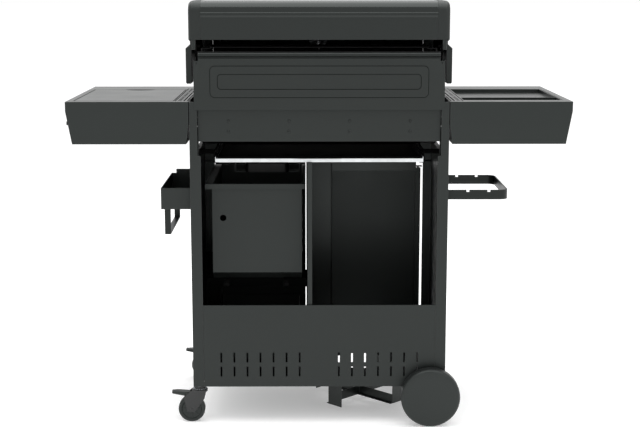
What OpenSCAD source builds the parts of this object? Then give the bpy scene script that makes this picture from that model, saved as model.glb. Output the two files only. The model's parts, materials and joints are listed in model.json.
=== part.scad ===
// Gas barbecue grill on a rolling cart: hooded firebox, two side shelves,
// bottle bay with a door, two drawers, two big wheels and two braked casters.
// The front faces -Y, the cook's left is -X, and the floor is z = 0.

/* [Cart] */
// Width of the cart across its legs
cart_w = 704; // [690:1:720]
// Depth of the cart from front legs to rear legs
cart_d = 475; // [465:1:485]
// Height of the underside of the legs
leg_bottom = 105.5; // [104:0.5:107]
// Width of a leg's face
leg_w = 30; // [28:1:32]
// Thickness of the folded sheet
sheet = 1.5; // [1.2:0.1:1.6]

/* [Shelves] */
// Width of the grill across both shelves
shelf_span = 1370; // [1340:1:1400]
// Height of the shelf tops
shelf_top = 903.6; // [903:0.1:904]
// Height of a shelf's skirt
shelf_h = 115; // [112:1:118]
// Depth of a shelf from front to back
shelf_d = 520; // [510:1:525]

/* [Firebox and lid] */
// Half width of the firebox
firebox_x = 328; // [326:1:329]
// Height of the firebox's side walls
firebox_top = 1010; // [1006:1:1012]
// Half width of the lid's end castings
lid_x = 354; // [353:0.5:355]
// Height of the closed lid
lid_top = 1172; // [1168:1:1176]
// Radius of the lid's front curve
lid_curve = 170; // [165:1:172]

/* [Control panel] */
// Distance between the burner knobs
knob_pitch = 150; // [140:1:155]
// Radius of a knob
knob_r = 22; // [18:0.5:24]
// Height of the knobs' axes
knob_z = 850; // [846:1:854]

/* [Running gear] */
// Diameter of a big wheel
wheel_d = 165; // [160:1:168]
// Width of a big wheel
wheel_w = 35; // [30:1:36]
// Diameter of a caster wheel
caster_d = 75; // [70:1:76]
// Distance that a caster wheel trails its swivel
caster_trail = 23; // [20:1:25]

/* [Lower back panel] */
// Distance between the vent slots
slot_pitch = 36.4; // [34:0.1:37]
// Width of a vent slot
slot_w = 5; // [4:0.5:7]
// Height of a vent slot
slot_h = 28; // [24:1:30]

/* [Hidden] */
$fn = 48;
// y of the rear face of the legs, which centres the whole grill on y = 0
rear_y = 264;
gap = 0.3;

// cart
leg_x = cart_w / 2;
leg_in = leg_x - leg_w;
leg_t = 2;
leg_d = 40;
leg_waist = 756;
leg_neck = 21.5;
base_z = 125;
side_top = 756;
panel_top = 339.4;
slot_rows = [135.7, 176];
slot_cols = 7;
slot_first = [55, 54.5];
bottle_x = -120;
bottle_y = -195;
bottle_r = 80;
cradle_z = 22;
cradle_half = 92;
cradle_web = 27;
part_x = 20;
stile_x = [-43, 36.6];
header_z = [678, 748];
mid_rail_z = [282, 322];
kick_z = 168;
front_low = kick_z + 4;
front_y = -cart_d;

// firebox
box_rear = -24;
box_front = -462;
box_low = 772;
box_knee = 830;
wall = 2;
burner_xs = [for (i = [-1.5 : 1.5]) i * knob_pitch];
burner_r = 15;
tent_z = 888;
grate_z = 965;
shield_x = 338;
shield_z = [881.5, 1019.5];
rail_x = 325;
rail_z = 1029.5;
cover_z = [794.5, 881.5];
cover_y = -12;
screw_xs = [-246.5, -82, 82, 246.5];
screw_zs = [821.8, 850.3];
tray_x = 284;
tray_z = [737, 751.5];
tray_rear = -18;
tray_front = -440;
cup_x = 148;
cup_y = -215;

// shelves
shelf_x = shelf_span / 2;
shelf_low_x = shelf_x - 16;
shelf_rear = 2;
shelf_front = shelf_rear - shelf_d;
shelf_in = leg_x + 1.5;
shelf_knee = shelf_top - 26;
shelf_low = shelf_top - shelf_h;
shelf_t = 2.5;
rib_xs = [for (i = [0 : 4]) 357 + i * 8];
cover_box = [397, 665];
cover_ys = [-400, -31];
cover_pin_y = cover_ys[1] - 5;
cover_pin_z = shelf_top - 7.1;
tray_box = [394, 665];
tray_ys = [-413, -46];
trough_y = -130;

// lid
lid_rear = -30;
lid_band = 1068;
lid_t = 2;
lid_front = -500;
lid_corner = 30;
hinge_y = -40;
hinge_z = 1050;
ear_low = 945;
ear_rear = lid_rear - 60;

// running gear
wheel_x = -309;
wheel_z = wheel_d / 2;
caster_x = 336;
caster_ys = [-22, -453];
wheel_ys = [5, -cart_d - 5 - wheel_w];
caster_z = caster_d / 2;
trail_x = caster_x + caster_trail;

// a box between two corners
module block(xs, ys, zs) {
  translate([xs[0], ys[0], zs[0]]) cube([xs[1] - xs[0], ys[1] - ys[0], zs[1] - zs[0]]);
}
// a rod from a point along +X, +Y or +Z
module rod_x(x, y, z, r, l) {
  translate([x, y, z]) rotate([0, 90, 0]) cylinder(r = r, h = l);
}
module rod_y(x, y, z, r, l) {
  translate([x, y, z]) rotate([-90, 0, 0]) cylinder(r = r, h = l);
}
module rod_z(x, y, z, r, l) {
  translate([x, y, z]) cylinder(r = r, h = l);
}
// an outline in y and z pulled along X from x = a to x = b
module along_x(a, b) {
  translate([a, 0, 0]) rotate([90, 0, 90]) linear_extrude(b - a) children();
}
// an outline in x and z pulled along Y from y = a to y = b
module along_y(a, b) {
  translate([0, b, 0]) rotate([90, 0, 0]) linear_extrude(b - a) children();
}
module at_rear() {
  translate([0, rear_y, 0]) children();
}
module flip_x() {
  mirror([1, 0, 0]) children();
}
module to_front() {
  translate([0, front_y, 0]) mirror([0, 1, 0]) children();
}
// a rectangle with round corners, centred
module round_rect(w, h, r) {
  square([w - 2 * r, h], center = true);
  square([w, h - 2 * r], center = true);
  for (x = [-1, 1], y = [-1, 1]) translate([x * (w / 2 - r), y * (h / 2 - r)]) circle(r);
}
// an open pan: a block without its inside, which is open towards +Z
module pan(xs, ys, zs, t) {
  difference() {
    block(xs, ys, zs);
    block([xs[0] + t, xs[1] - t], [ys[0] + t, ys[1] - t], [zs[0] + t, zs[1] + 1]);
  }
}

// one leg: a folded corner with a narrow neck beside the firebox and a foot plate
module leg() {
  difference() {
    union() {
      block([leg_in, leg_x], [-leg_t, 0], [leg_bottom, shelf_top - 0.6]);
      block([leg_x - leg_t, leg_x], [-leg_d, 0], [leg_bottom, shelf_top - 0.6]);
      block([leg_in, leg_x], [-leg_d, 0], [leg_bottom, leg_bottom + leg_t]);
    }
    block([leg_in - 1, leg_x - leg_neck], [-leg_t - 1, 1], [leg_waist, shelf_top]);
    rod_z(caster_x, caster_ys[0], leg_bottom - 1, 5, leg_t + 2);
  }
}
module leg_rear_left() color("#34383a") at_rear() flip_x() leg();
module leg_rear_right() color("#34383a") at_rear() leg();
module leg_front_left() color("#34383a") at_rear() to_front() flip_x() leg();
module leg_front_right() color("#34383a") at_rear() to_front() leg();

module base_panel() color("#303335") at_rear() difference() {
  union() {
    block([-leg_x + leg_t, leg_x - leg_t], [front_y + leg_t, -leg_t - 0.4], [base_z - sheet, base_z]);
    block([-leg_in + gap, leg_in - gap], [front_y + 0.8, front_y + leg_t + gap], [leg_bottom, base_z]);
  }
  rod_z(bottle_x, bottle_y, base_z - 5, bottle_r, 10);
}

// two crossed angle bars on four posts that carry the gas bottle below the base
module bottle_cradle() color("#303335") at_rear() translate([bottle_x, bottle_y, 0]) {
  arm = cradle_half * sqrt(2);
  for (a = [45, 135]) rotate([0, 0, a]) {
    block([-arm, arm], [-1, 1], [cradle_z, cradle_z + cradle_web]);
    block([-arm, arm], [-9, 1], [cradle_z, cradle_z + 2]);
  }
  for (a = [45, 135, 225, 315]) rotate([0, 0, a])
    block([arm - 1, arm + 1], [-1, 51], [cradle_z, base_z - sheet]);
}

module lower_back_panel() color("#34383a") at_rear() difference() {
  union() {
    block([-leg_in + gap, leg_in - gap], [-sheet, 0], [129, panel_top]);
    block([-leg_in + gap, leg_in - gap], [-sheet - 0.8, -0.8], [leg_bottom + 0.2, 129.5]);
    block([-leg_in + gap, leg_in - gap], [-5, -sheet + 0.1], [panel_top - sheet, panel_top]);
  }
  for (side = [0, 1], i = [0 : slot_cols - 1], z = slot_rows)
    mirror([side, 0, 0]) block(
      [slot_first[side] + i * slot_pitch - slot_w / 2, slot_first[side] + i * slot_pitch + slot_w / 2],
      [-20, 1], [z, z + slot_h]);
}

module side_panel() {
  x = leg_x - leg_t - gap;
  block([x - sheet, x], [front_y + leg_t + gap, -leg_t - gap], [base_z + gap, side_top]);
  block([x - 12, x], [front_y + leg_d + 5, -leg_d - 5], [side_top - sheet, side_top]);
  block([firebox_x + 1, x], [-34, -32.5], [side_top - 4, 832]);
}
module side_panel_left() color("#303335") at_rear() flip_x() side_panel();
module side_panel_right() color("#303335") at_rear() side_panel();

module partition() color("#34383a") at_rear() {
  difference() {
    block([part_x, part_x + sheet], [-455, -6], [base_z + gap, 736]);
    block([part_x - 1, part_x + 3], [cup_y - 9, cup_y + 9], [728, 740]);
  }
  block([part_x, part_x + 12.5], [-7.5, -6], [base_z + gap, 736]);
  block([part_x, part_x + 12.5], [-455, -453.5], [base_z + gap, 676]);
  block([part_x, part_x + 12.5], [-453.5, -7.5], [base_z + gap, base_z + gap + sheet]);
}

// header under the control panel, centre stile, and the rail between the drawers
module front_frame() color("#303335") at_rear() {
  x = leg_x - leg_t - sheet - 2 * gap;
  block([-x, x], [front_y + leg_t + gap, front_y + 4], [base_z + gap, kick_z]);
  block([-x, x], [front_y + leg_t + gap, front_y + 4], header_z);
  block([-x, x], [front_y + 4, front_y + 18], [header_z[0], header_z[0] + sheet]);
  block([-302, stile_x[0]], [front_y + leg_t + gap, front_y + 4], [648, header_z[0]]);
  block([308, x], [front_y + leg_t + gap, front_y + 4], [base_z + gap, 655]);
  block([317.5, x], [front_y + leg_t + gap, front_y + 4], [655, header_z[0]]);
  block(stile_x, [front_y + leg_t + gap, front_y + 4], [base_z + gap, header_z[0]]);
  for (i = [0, 1]) block([stile_x[i] - 1.5 * i, stile_x[i] + 1.5 * (1 - i)],
    [front_y + 4, front_y + 19], [base_z + gap, header_z[0]]);
  block([stile_x[1], x], [front_y + leg_t + gap, front_y + 4], mid_rail_z);
  block([stile_x[1], x], [front_y + 4, front_y + 22], [mid_rail_z[1] - sheet, mid_rail_z[1]]);
}

// the rails that the drawers and the drip tray slide on
module runners() color("#8d9295") at_rear() {
  for (x = [84, 250]) {
    block([x, x + 14], [front_y + 22, -20], [390, 397]);
    block([x, x + 14], [front_y + 22, -40], [base_z + gap, kick_z + 1.5]);
  }
  block([part_x + sheet + gap, leg_x - leg_t - sheet - 2 * gap], [-200, -198], [372, 397]);
  block([40, leg_x - leg_t - sheet - 2 * gap], [front_y + 22, front_y + 24], [322 + gap, 397]);
  for (side = [0, 1]) mirror([side, 0, 0]) {
    block([tray_x + 1, tray_x + 4], [-440, -26], [734, 768]);
    block([tray_x - 10, tray_x + 4], [-440, -26], [734, 736.4]);
    block([tray_x + 1, leg_x - leg_t - gap], [-60, -45], [757, 768]);
    block([tray_x + 1, leg_x - leg_t - gap], [-430, -415], [757, 768]);
  }
}

// a tub with sloping floors down to an open drain slot over the drip tray
module firebox() color("#25282a") at_rear() difference() {
  union() {
    along_x(-firebox_x, firebox_x) {
      polygon([[box_rear, 1037], [box_rear, box_knee], [-150, box_low], [-150, box_low + 2.2],
        [box_rear - wall, box_knee + 1], [box_rear - wall, 1037]]);
      polygon([[box_front, firebox_top], [box_front, box_knee], [-330, box_low],
        [-330, box_low + 2.2], [box_front + wall, box_knee + 1], [box_front + wall, firebox_top]]);
    }
    for (side = [0, 1]) mirror([side, 0, 0]) {
      along_x(firebox_x - wall, firebox_x) polygon([[box_rear, 1037], [box_rear, box_knee],
        [-150, box_low], [-330, box_low], [box_front, box_knee], [box_front, firebox_top],
        [-60, firebox_top]]);
      block([firebox_x - 1, leg_x - leg_t - gap], [-39, -27], [836, 848]);
      block([firebox_x - 1, leg_x - leg_t - gap], [-448, -436], [836, 848]);
      block([firebox_x - 14, firebox_x - 1], [box_front + 1, box_rear - 1], [grate_z - 5, grate_z - 2]);
    }
    block([-firebox_x + 1, firebox_x - 1], [box_rear - 14, box_rear - 1], [grate_z - 5, grate_z - 2]);
    block([-firebox_x + 1, firebox_x - 1], [box_front + 1, box_front + 14], [grate_z - 5, grate_z - 2]);
    block([-firebox_x + 1, firebox_x - 1], [box_rear - 14, box_rear - 1], [tent_z - 5, tent_z - 2]);
    block([-firebox_x + 1, firebox_x - 1], [box_front + 1, box_front + 14], [tent_z - 5, tent_z - 2]);
  }
  for (x = burner_xs) rod_y(x, box_front - 1, knob_z, burner_r + 1, 4);
}

// the embossed rear cover, with a tab at each top corner
module heat_shield() color("#34383a") at_rear() {
  z_mid = 957.25;
  difference() {
    union() {
      block([-shield_x, shield_x], [1, 2.5], [shield_z[0], 1013]);
      block([-rail_x, rail_x], [1, 2.5], [1012, shield_z[1]]);
      for (side = [0, 1]) mirror([side, 0, 0])
        block([shield_x - sheet, shield_x], [box_rear, 1.5], [shelf_top + 1, 1013]);
    }
    for (side = [0, 1]) mirror([side, 0, 0]) rod_y(330, 0, 1007.5, 1.6, 4);
  }
  along_y(2.4, 3.6) translate([0, z_mid]) difference() {
    round_rect(588, 84.5, 13);
    round_rect(548, 40.5, 10);
  }
  block([-rail_x, rail_x], [box_rear, 1], [shield_z[0], shield_z[0] + sheet]);
}

module shield_rail() color("#3f4446") at_rear() {
  rod_x(-rail_x, -3.5, rail_z, 5.5, 2 * rail_x);
  block([-rail_x, rail_x], [-6, -4.5], [990, rail_z]);
  block([-rail_x, rail_x], [-6, 0.7], [1002, 1003.5]);
}

module back_cover() color("#34383a") at_rear() difference() {
  union() {
    along_y(cover_y, cover_y + sheet) polygon([[-328, cover_z[0]], [328, cover_z[0]],
      [330.5, cover_z[1] - 0.3], [-330.5, cover_z[1] - 0.3]]);
    block([-324, 324], [box_rear + gap, cover_y + 0.1], [cover_z[1] - 2 * sheet, cover_z[1] - sheet]);
    block([-324, 324], [box_rear + gap, cover_y + 0.1], [cover_z[0], cover_z[0] + sheet]);
  }
  for (x = screw_xs, z = screw_zs) rod_y(x, cover_y - 1, z, 2, 4);
}
module cover_screws() color("#7c8183") at_rear() for (x = screw_xs, z = screw_zs) {
  rod_y(x, cover_y - 9, z, 1.98, 9 + sheet);
  rod_y(x, cover_y + sheet, z, 3.6, 1.8);
}

// the front panel, open below and behind, with a hole for each stem
panel_y = -530;
module control_panel() color("#34383a") at_rear() difference() {
  block([-leg_x - 1, leg_x + 1], [panel_y, box_front - gap], [788, shelf_top]);
  block([-leg_x + 1, leg_x - 1], [panel_y + 2, box_front + 1], [780, shelf_top - 2]);
  block([-leg_x - 2, leg_x + 2], [front_y - gap, box_front + 1], [780, shelf_top + 1]);
  for (x = burner_xs) rod_y(x, panel_y - 1, knob_z, 5, 4);
  rod_y(0, panel_y - 1, knob_z, 9.1, 4);
}

// the gas rail with four valves and their stems, and the inlet that the hose screws on
inlet_x = -180;
inlet_y = -506;
module gas_manifold() color("#b08d57") at_rear() {
  rod_x(-270, -500, knob_z - 24, 8, 540);
  for (x = burner_xs) {
    block([x - 11, x + 11], [-514, -486], [knob_z - 26, knob_z + 11]);
    rod_y(x, -540, knob_z, 3, 30);
    rod_y(x, -487, knob_z, 6, 11);
  }
  rod_z(inlet_x, inlet_y, 764, 6.6, 30);
  rod_z(inlet_x, inlet_y, 790, 10, 32);
}
module burners() color("#9aa0a3") at_rear() for (x = burner_xs) difference() {
  union() {
    rod_y(x, -474, knob_z, burner_r, 400);
    block([x - 8, x + 8], [-76, box_rear - wall - gap], [knob_z - 4, knob_z - 2]);
  }
  rod_y(x, -476, knob_z, burner_r - 2, 398);
  for (side = [-1, 1]) block([x + side * burner_r - 3, x + side * burner_r + 3], [-430, -90],
    [knob_z + 1, knob_z + 3]);
}
module heat_tents() color("#8c9194") at_rear() for (x = burner_xs)
  along_y(box_front + 5, box_rear - 5) translate([x, tent_z - 2]) polygon([[-48, 0], [0, 34],
    [48, 0], [46, 0], [0, 32], [-46, 0]]);

module cooking_grates() color("#1f2123") at_rear() for (side = [0, 1]) mirror([side, 0, 0]) {
  xs = [1.5, firebox_x - 4];
  ys = [box_front + 5, box_rear - 5];
  bars = 13;
  step = (xs[1] - xs[0] - 7) / (bars - 1);
  for (i = [0 : bars - 1]) block([xs[0] + i * step, xs[0] + i * step + 7], ys, [grate_z, grate_z + 11]);
  for (y = [ys[0], -247, ys[1] - 8]) block(xs, [y, y + 8], [grate_z - 2, grate_z + 7]);
}

module warming_rack() color("#9aa0a3") at_rear() {
  for (i = [0 : 8]) rod_x(-298, -66 - i * 16, 1046, 2, 596);
  for (x = [-296, 0, 296]) rod_y(x, -196, 1042.5, 2.5, 132);
  for (side = [0, 1], y = [-64, -196]) mirror([side, 0, 0]) {
    rod_x(294, y, 1042.5, 2.5, 25);
    rod_z(319, y, grate_z + 11, 2.5, 1034 - grate_z);
  }
}

// lid hinge ears with their pins, and the two pins that the door turns on
door_pin = [-308, -482];
module hinge_brackets() color("#7c8183") at_rear() {
  for (side = [0, 1]) mirror([side, 0, 0]) {
    along_x(330.4, 333.4) polygon([[-54, 990], [-26, 990], [-30, 1056], [-50, 1056]]);
    block([firebox_x, 333.4], [-54, -28], [985, 1002]);
    rod_x(322, hinge_y, hinge_z, 4, 22);
  }
  block([-320, -296], [-492, front_y + 4], [kick_z + gap, kick_z + 2.3]);
  rod_z(door_pin[0], door_pin[1], kick_z + 1, 3, 10);
  block([-320, -296], [-492, front_y + leg_t + gap], [660, 662.3]);
  rod_z(door_pin[0], door_pin[1], 650, 3, 11);
}

// a shelf's skirt and top as one pressed shell, open below
function shelf_outline(d) = [[shelf_in + d, shelf_top - d], [shelf_x - d, shelf_top - d],
  [shelf_x - d, shelf_knee], [shelf_low_x - d, shelf_low - (d > 0 ? 1 : 0)],
  [shelf_in + 7 + d, shelf_low - (d > 0 ? 1 : 0)], [shelf_in + d, shelf_low + 56]];
module shelf_shell(xs, ys) {
  difference() {
    along_y(shelf_front, shelf_rear) polygon(shelf_outline(0));
    along_y(shelf_front + shelf_t, shelf_rear - shelf_t) polygon(shelf_outline(shelf_t));
    block(xs, ys, [shelf_top - 10, shelf_top + 1]);
    for (x = rib_xs) block([x, x + 3], [-440, -22], [shelf_top - 1.2, shelf_top + 1]);
  }
  for (y = [-80, -420]) block([shelf_in + 3, shelf_low_x - 8], [y, y + 2], [shelf_low + 4, 834]);
}

// two rails that carry a shelf on the firebox side, joined to the ribs below its top
module shelf_rails() for (y = [-80, -420]) difference() {
  block([firebox_x, shelf_low_x - 12], [y, y + 18], [833, 854]);
  block([firebox_x + 2, shelf_low_x - 14], [y + 2, y + 16], [832, 852]);
}
module right_shelf() color("#3a3f41") at_rear() difference() {
  union() {
    shelf_shell([cover_box[0] - 3, cover_box[1] + 3], [cover_ys[0] - 3, cover_ys[1] + 5]);
    rod_x(shelf_x - 9, -9, 845, 5.5, 7.5);
    shelf_rails();
  }
  rod_y(530, shelf_front - 1, knob_z, 5, 4);
}
module left_shelf() color("#3a3f41") at_rear() flip_x() {
  shelf_shell([tray_box[0], tray_box[1]], [tray_ys[0], tray_ys[1]]);
  shelf_rails();
}

// the insert of the left shelf: a shallow tray with a deeper trough along the rear
module shelf_tray() color("#44494b") at_rear() flip_x() {
  xs = [tray_box[0] + gap, tray_box[1] - gap];
  pan(xs, [tray_ys[0] + gap, trough_y], [shelf_top - 13, shelf_top - 0.5], 1.6);
  pan(xs, [trough_y - 1.6, tray_ys[1] - gap], [shelf_top - 45, shelf_top - 0.5], 1.6);
  block([tray_box[0] + 4, tray_box[1] - 4], [tray_ys[0] + 30, tray_ys[0] + 34],
    [820, shelf_top - 13]);
}

// drip pan with the burner head, its valve and stem, below the flush cover
burner_c = [530, -215];
module side_burner() color("#5c6163") at_rear() {
  difference() {
    union() {
      pan([cover_box[0] - 6, cover_box[1] + 6], [cover_ys[0] - 6, cover_ys[1] + 9],
        [856, shelf_top - shelf_t], 1.5);
      for (x = [cover_box[0] + 2, cover_box[1] - 3.5]) {
        block([x, x + 1.5], [cover_pin_y - 3.5, cover_pin_y + 3.5], [857, cover_pin_z]);
        rod_x(x, cover_pin_y, cover_pin_z, 3.9, 1.5);
      }
      rod_z(burner_c[0], burner_c[1], 857, 22, 8);
      rod_z(burner_c[0], burner_c[1], 865, 40, 9);
    }
    rod_z(burner_c[0], burner_c[1], 850, 14, 16);
    rod_z(burner_c[0], burner_c[1], 868, 12, 8);
    rod_x(cover_box[0] + 1, cover_pin_y, cover_pin_z, 2.55, 4);
    rod_x(cover_box[1] - 5, cover_pin_y, cover_pin_z, 2.55, 4);
  }
  block([518, 542], [-500, -474], [838, 862]);
  rod_y(530, -530, knob_z, 3, 31);
  rod_y(530, -475, knob_z, 6, 50);
  block([524, 536], [-430, -424], [845, 857]);
  block([524, 536], [-430, -395], [855, 857.5]);
}
module side_burner_grate() color("#1f2123") at_rear() difference() {
  union() {
    for (a = [0, 45, 90, 135]) translate([burner_c[0], burner_c[1], 878]) rotate([0, 0, a])
      translate([-96, -3, 0]) cube([192, 6, 9]);
    translate([burner_c[0], burner_c[1], 878]) difference() {
      cylinder(r = 100, h = 8);
      translate([0, 0, -1]) cylinder(r = 93, h = 10);
    }
    for (a = [45 : 90 : 315]) translate([burner_c[0], burner_c[1], 857.5]) rotate([0, 0, a])
      translate([93, -3, 0]) cube([6, 6, 22]);
  }
  rod_z(burner_c[0], burner_c[1], 870, 20, 30);
}

// open bin on the right side of the cart
caddy_x = [leg_x, 436];
caddy_z = [604, 663];
caddy_y = [-330, -34];
module tool_caddy() color("#34383a") at_rear() {
  difference() {
    block(caddy_x, caddy_y, caddy_z);
    block([caddy_x[0] + sheet, caddy_x[1] - sheet], [caddy_y[0] + sheet, caddy_y[1] - sheet],
      [caddy_z[0] + sheet, caddy_z[1] + 1]);
  }
  block([caddy_x[0], caddy_x[1] - 14], [caddy_y[0], caddy_y[0] + sheet], [caddy_z[1] - 1, caddy_z[1] + 12]);
}
module towel_bar() color("#4a4f51") at_rear() {
  for (y = [-40, -304]) block([410, 427], [y, y + 3], [536, caddy_z[0]]);
  block([410, 427], [-304, -37], [533, 536]);
}

// flat loop on the left side, with hooks' notches in its long edges
rack_y = [-320, -36];
rack_z = [630, 657];
module tool_rack() color("#4a4f51") at_rear() flip_x() difference() {
  translate([0, 0, rack_z[0]]) linear_extrude(rack_z[1] - rack_z[0]) difference() {
    rack_outline(0);
    rack_outline(3);
  }
  for (y = rack_y, x = [410, 468]) block([x - 4, x + 4], [y - 8, y + 8], [rack_z[1] - 6, rack_z[1] + 1]);
}
module rack_outline(d) {
  r = 24 - d;
  hull_x = 522 - d;
  polygon(concat([[leg_x + (d > 0 ? -1 : 0), rack_y[0] + d]],
    [for (a = [-90 : 15 : 0]) [hull_x - r + r * cos(a), rack_y[0] + d + r + r * sin(a)]],
    [for (a = [0 : 15 : 90]) [hull_x - r + r * cos(a), rack_y[1] - d - r + r * sin(a)]],
    [[leg_x + (d > 0 ? -1 : 0), rack_y[1] - d]]));
}

// strap that hangs the grease cup below the drip tray's drain
module cup_holder() color("#6d7274") at_rear() {
  x0 = cup_x - 92;
  x1 = cup_x + 92;
  block([-tray_x - 1, tray_x + 1], [cup_y - 6, cup_y + 6], [731, 733.6]);
  for (x = [x0, x1]) block([x - 1, x + 1], [cup_y - 20, cup_y + 20], [686, 731.5]);
  for (y = [cup_y - 20, cup_y + 14]) block([x0, x1], [y, y + 6], [684, 687]);
}

module wheel_axle() color("#8d9295") at_rear() {
  rod_y(wheel_x, wheel_ys[1] - 4, wheel_z, 6, wheel_ys[0] + wheel_w - wheel_ys[1] + 8);
  for (y = [-20, front_y + 17]) difference() {
    block([wheel_x - 12.5, wheel_x + 12.5], [y, y + 3], [wheel_z - 14, base_z - sheet]);
    rod_y(wheel_x, y - 1, wheel_z, 6, 5);
  }
}
module caster_stems() color("#8d9295") at_rear() for (y = caster_ys) {
  rod_z(caster_x, y, 86, 5, leg_bottom - 86 + leg_t);
  rod_z(caster_x, y, leg_bottom + leg_t, 8, 6);
  rod_z(caster_x, y, leg_bottom - 3.5, 13, 3.5);
}

// lid outline in y and z, pulled in by d; the inner ones run on down so that they cut right through
function arc(c, r, a0, a1, n) = [for (i = [0 : n]) let (a = a0 + (a1 - a0) * i / n)
  [c[0] + r * cos(a), c[1] + r * sin(a)]];
function lid_outline(d) = concat(
  [[lid_rear - d, lid_band - (d > 0 ? 200 : 0)]],
  arc([lid_rear - lid_corner, lid_top - lid_corner], lid_corner - d, 0, 90, 6),
  arc([lid_front + lid_curve, lid_top - lid_curve], lid_curve - d, 90, 180, 14),
  d > 0 ? [[lid_front + d, lid_band - 200]] : []);
module lid_slice(a, b, d) {
  along_x(a, b) polygon(lid_outline(d));
}
module lid_shell() color("#2b2e30") at_rear() {
  difference() {
    lid_slice(-320, 320, 0);
    lid_slice(-321, 321, lid_t);
  }
  block([-320, 320], [lid_rear - 1, lid_rear + 2], [1128, 1141]);
}
module lid_end() {
  difference() {
    lid_slice(320 + gap, lid_x, 0);
    lid_slice(319, lid_x - 4, 5);
  }
  along_y(lid_front + 14, ear_rear) polygon([[lid_x - 3, ear_low + 2], [lid_x - 1, ear_low],
    [lid_x + 10, ear_low], [lid_x + 12.5, ear_low + 3], [lid_x + 12.5, 1042], [lid_x, 1053],
    [lid_x, 1068], [lid_x - 4, 1068], [lid_x - 4, 1000]]);
  difference() {
    block([333.8, 344.5], [hinge_y - 9, lid_rear - 2], [hinge_z - 9, lid_band + 30]);
    rod_x(330, hinge_y, hinge_z, 4.05, 20);
  }
}
module lid_end_left() color("#2b2e30") at_rear() flip_x() lid_end();
module lid_end_right() color("#2b2e30") at_rear() lid_end();
module lid_handle() color("#b9bdbf") at_rear() {
  rod_x(-300, -560, 1045, 12, 600);
  for (x = [-270, 270]) rod_y(x, -562, 1045, 8, 70);
}
module thermometer() color("#a3a8aa") at_rear() translate([0, -492, 1052]) rotate([90 - 17, 0, 0]) {
  cylinder(r = 36, h = 16);
  translate([0, 0, -8]) cylinder(r = 28, h = 9);
  translate([0, 0, -60]) cylinder(r = 3, h = 55);
}

module side_burner_cover() color("#3a3f41") at_rear() {
  difference() {
    block(cover_box, cover_ys, [shelf_top - 3, shelf_top]);
    rod_z(burner_c[0], cover_ys[0] - 30, shelf_top - 4, 55, 6);
  }
  for (x = [cover_box[0] + 3.9, cover_box[1] - 9.9]) {
    block([x, x + 6], [cover_pin_y - 3.9, cover_pin_y + 3.9], [cover_pin_z, shelf_top - 2.9]);
    rod_x(x, cover_pin_y, cover_pin_z, 3.9, 6);
  }
  rod_x(cover_box[0] + 1.5, cover_pin_y, cover_pin_z, 2.5, 4);
  rod_x(cover_box[1] - 5.5, cover_pin_y, cover_pin_z, 2.5, 4);
}

// a knob at the origin that points along -Y, bored for its stem
module knob() rotate([90, 0, 0]) difference() {
  union() {
    cylinder(r = knob_r, h = 8);
    translate([0, 0, 8]) cylinder(r = knob_r - 4, h = 16);
    translate([-4, -knob_r + 3, 8]) cube([8, 2 * knob_r - 6, 19]);
  }
  translate([0, 0, -1]) cylinder(r = 3.05, h = 18);
}
module burner_knob(i) color("#1d1f20") at_rear() translate([burner_xs[i], panel_y - 1, knob_z]) knob();
module knob_1() burner_knob(0);
module knob_2() burner_knob(1);
module knob_3() burner_knob(2);
module knob_4() burner_knob(3);
module side_burner_knob() color("#1d1f20") at_rear() translate([530, shelf_front - 1, knob_z]) knob();
module igniter_button() color("#c5c9cb") at_rear() {
  rod_y(0, panel_y - 9, knob_z, 9, 20);
}

// a folded front with a pocket behind, its top corners at x and z
module pan_front(xs, zs) {
  difference() {
    block(xs, [front_y - 17, front_y - 1], zs);
    block([xs[0] + 16, xs[1] - 16], [front_y - 15.5, front_y], [zs[0] + 16, zs[1] - 16]);
  }
}
module handle_bar(x0, x1, z) {
  rod_x(x0, front_y - 44, z, 6, x1 - x0);
  for (x = [x0 + 18, x1 - 18]) rod_y(x, front_y - 44, z, 5, 28);
}
module door() color("#34383a") at_rear() {
  difference() {
    pan_front([-316, -6], [front_low, 656]);
    rod_z(door_pin[0], door_pin[1], front_low - 1, 3.05, 10);
    rod_z(door_pin[0], door_pin[1], 649, 3.05, 8);
  }
  rod_z(-30, front_y - 44, 400, 6, 200);
  for (z = [418, 582]) rod_y(-30, front_y - 44, z, 5, 28);
}

// deep drawer: folded front, sloping lower rear edge and a wide rim
module upper_drawer() color("#34383a") at_rear() {
  pan_front([39, 316.5], [304, 673]);
  handle_bar(98, 258, 628);
  difference() {
    along_x(48.5, 297) polygon([[-60, 664], [-60, 420], [-85, 399], [front_y + 24, 399],
      [front_y + 24, 664]]);
    along_x(50, 295.5) polygon([[-61.5, 665], [-61.5, 421], [-86, 400.5], [front_y + 25.5, 400.5],
      [front_y + 25.5, 665]]);
    rod_y(267, -63, 575, 9, 4);
  }
  difference() {
    block([38.5, 316], [front_y + 24, -52], [657, 671]);
    block([50, 295.5], [front_y + 25.5, -61.5], [656, 672]);
    block([40, 314.5], [front_y + 25.5, -53.5], [656, 669.5]);
  }
  difference() {
    block([39.5, 315], [front_y + 24, -53], [668, 670.5]);
    block([50, 295.5], [front_y + 25.5, -61.5], [656, 672]);
  }
  for (z = [440, 600]) block([60, 285], [front_y - 16, front_y + 24.5], [z, z + 12]);
}
module lower_drawer() color("#34383a") at_rear() {
  pan_front([39, 316.5], [front_low, 300]);
  handle_bar(98, 258, 262);
  pan([58, 297], [front_y + 24, -70], [kick_z + 2, 262], sheet);
  block([70, 285], [front_y - 16, front_y + 24.5], [200, 212]);
}

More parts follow.
